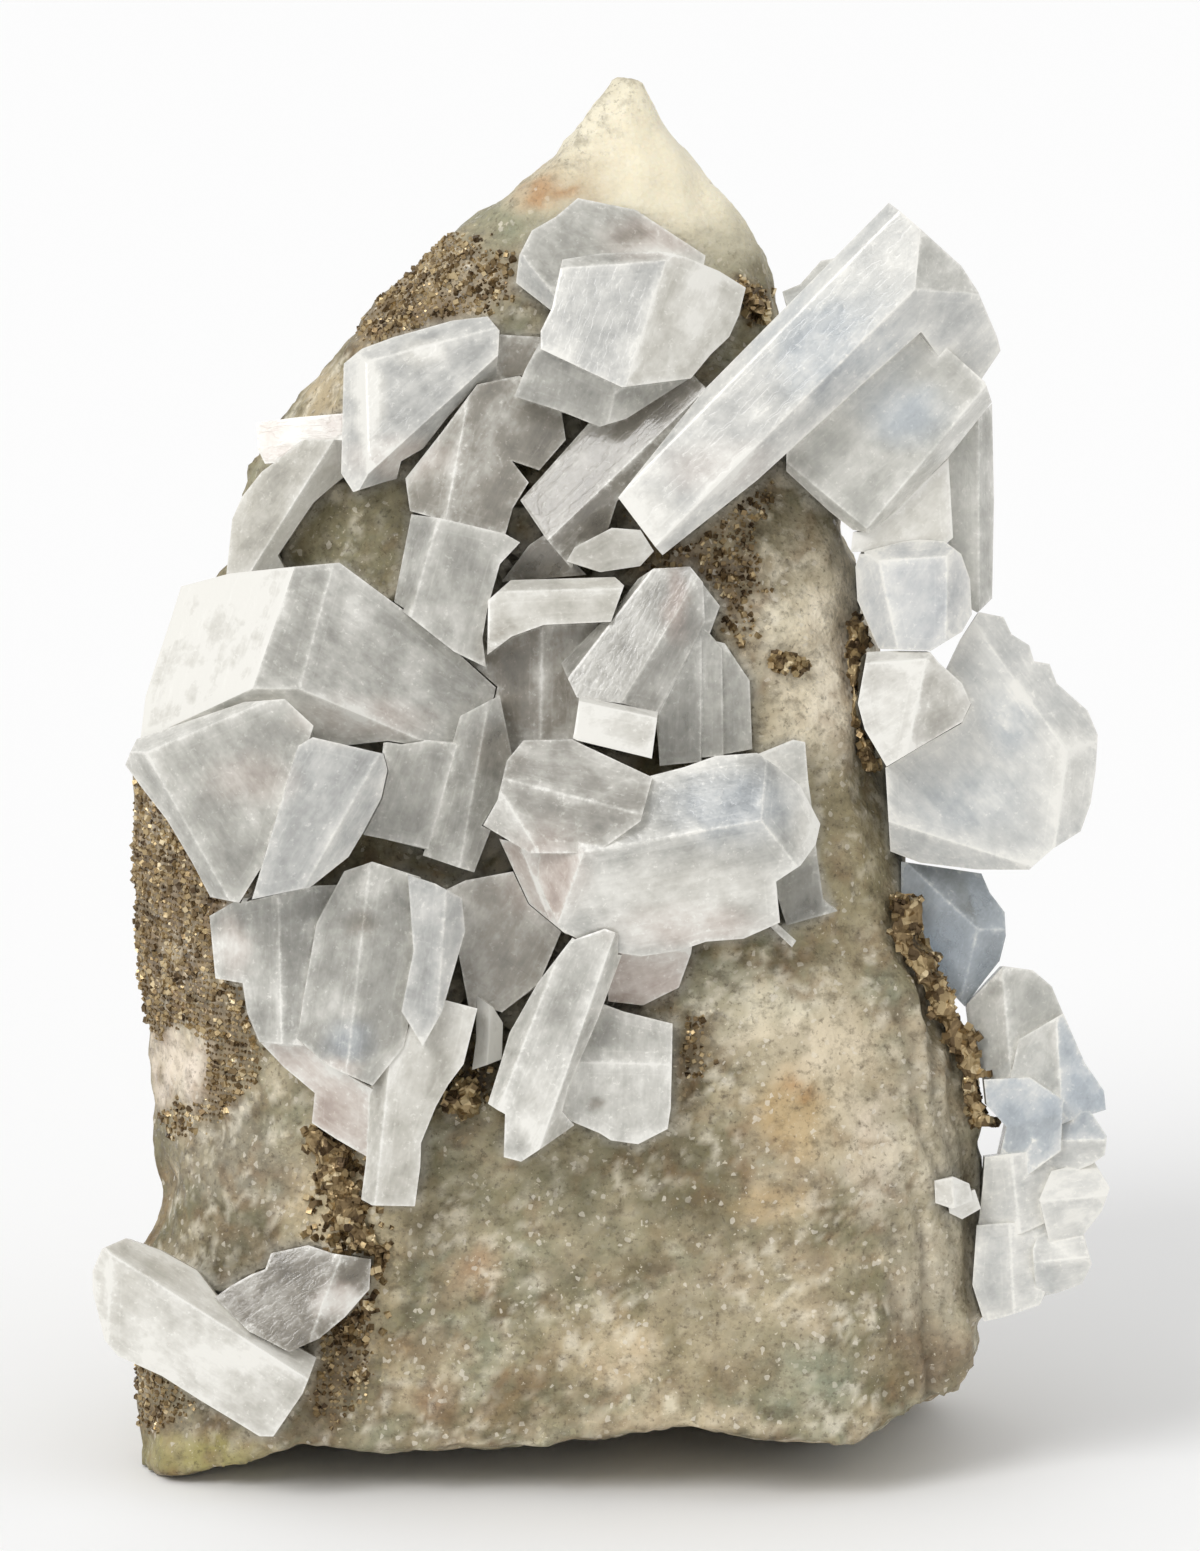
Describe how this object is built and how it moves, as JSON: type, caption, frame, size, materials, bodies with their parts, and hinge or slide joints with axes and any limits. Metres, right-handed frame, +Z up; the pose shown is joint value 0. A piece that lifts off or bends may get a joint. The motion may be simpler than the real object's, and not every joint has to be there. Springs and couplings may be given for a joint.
{
  "type": "barite and pyrite mineral specimen",
  "caption": "Hand specimen of pale blue barite prisms grown over a pointed olive-brown rock, with seams and grains of pyrite; stands on its broken base",
  "frame": {"origin": "on the ground plane, under the middle of the whole specimen", "axes": "+Z up the specimen, -Y out of the crystal-bearing face, +X to the right as that face is seen"},
  "size_m": [0.071, 0.0513, 0.0966],
  "materials": {
    "rock": "rough broken rock",
    "barite": "clear to cloudy crystal",
    "pyrite": "metallic, finely crystalline"
  },
  "bodies": {
    "root": {"rock": "rock", "barite_long_prism_group": "barite", "barite_middle_block_group": "barite", "barite_left_block_group": "barite", "barite_crown_group": "barite", "barite_upper_left_group": "barite", "barite_centre_group": "barite", "barite_lower_group": "barite", "barite_right_upper_crystal": "barite", "barite_right_middle_crystal": "barite", "barite_right_block": "barite", "barite_right_dark_crystal": "barite", "barite_knobby_group": "barite", "barite_corner_pair": "barite", "barite_flank_crystals": "barite", "pyrite_seam_upper": "pyrite", "pyrite_seam_lower": "pyrite", "pyrite_band": "pyrite", "pyrite_nodule": "pyrite", "pyrite_spot": "pyrite", "pyrite_edge_grains": "pyrite"}
  },
  "joints": []
}
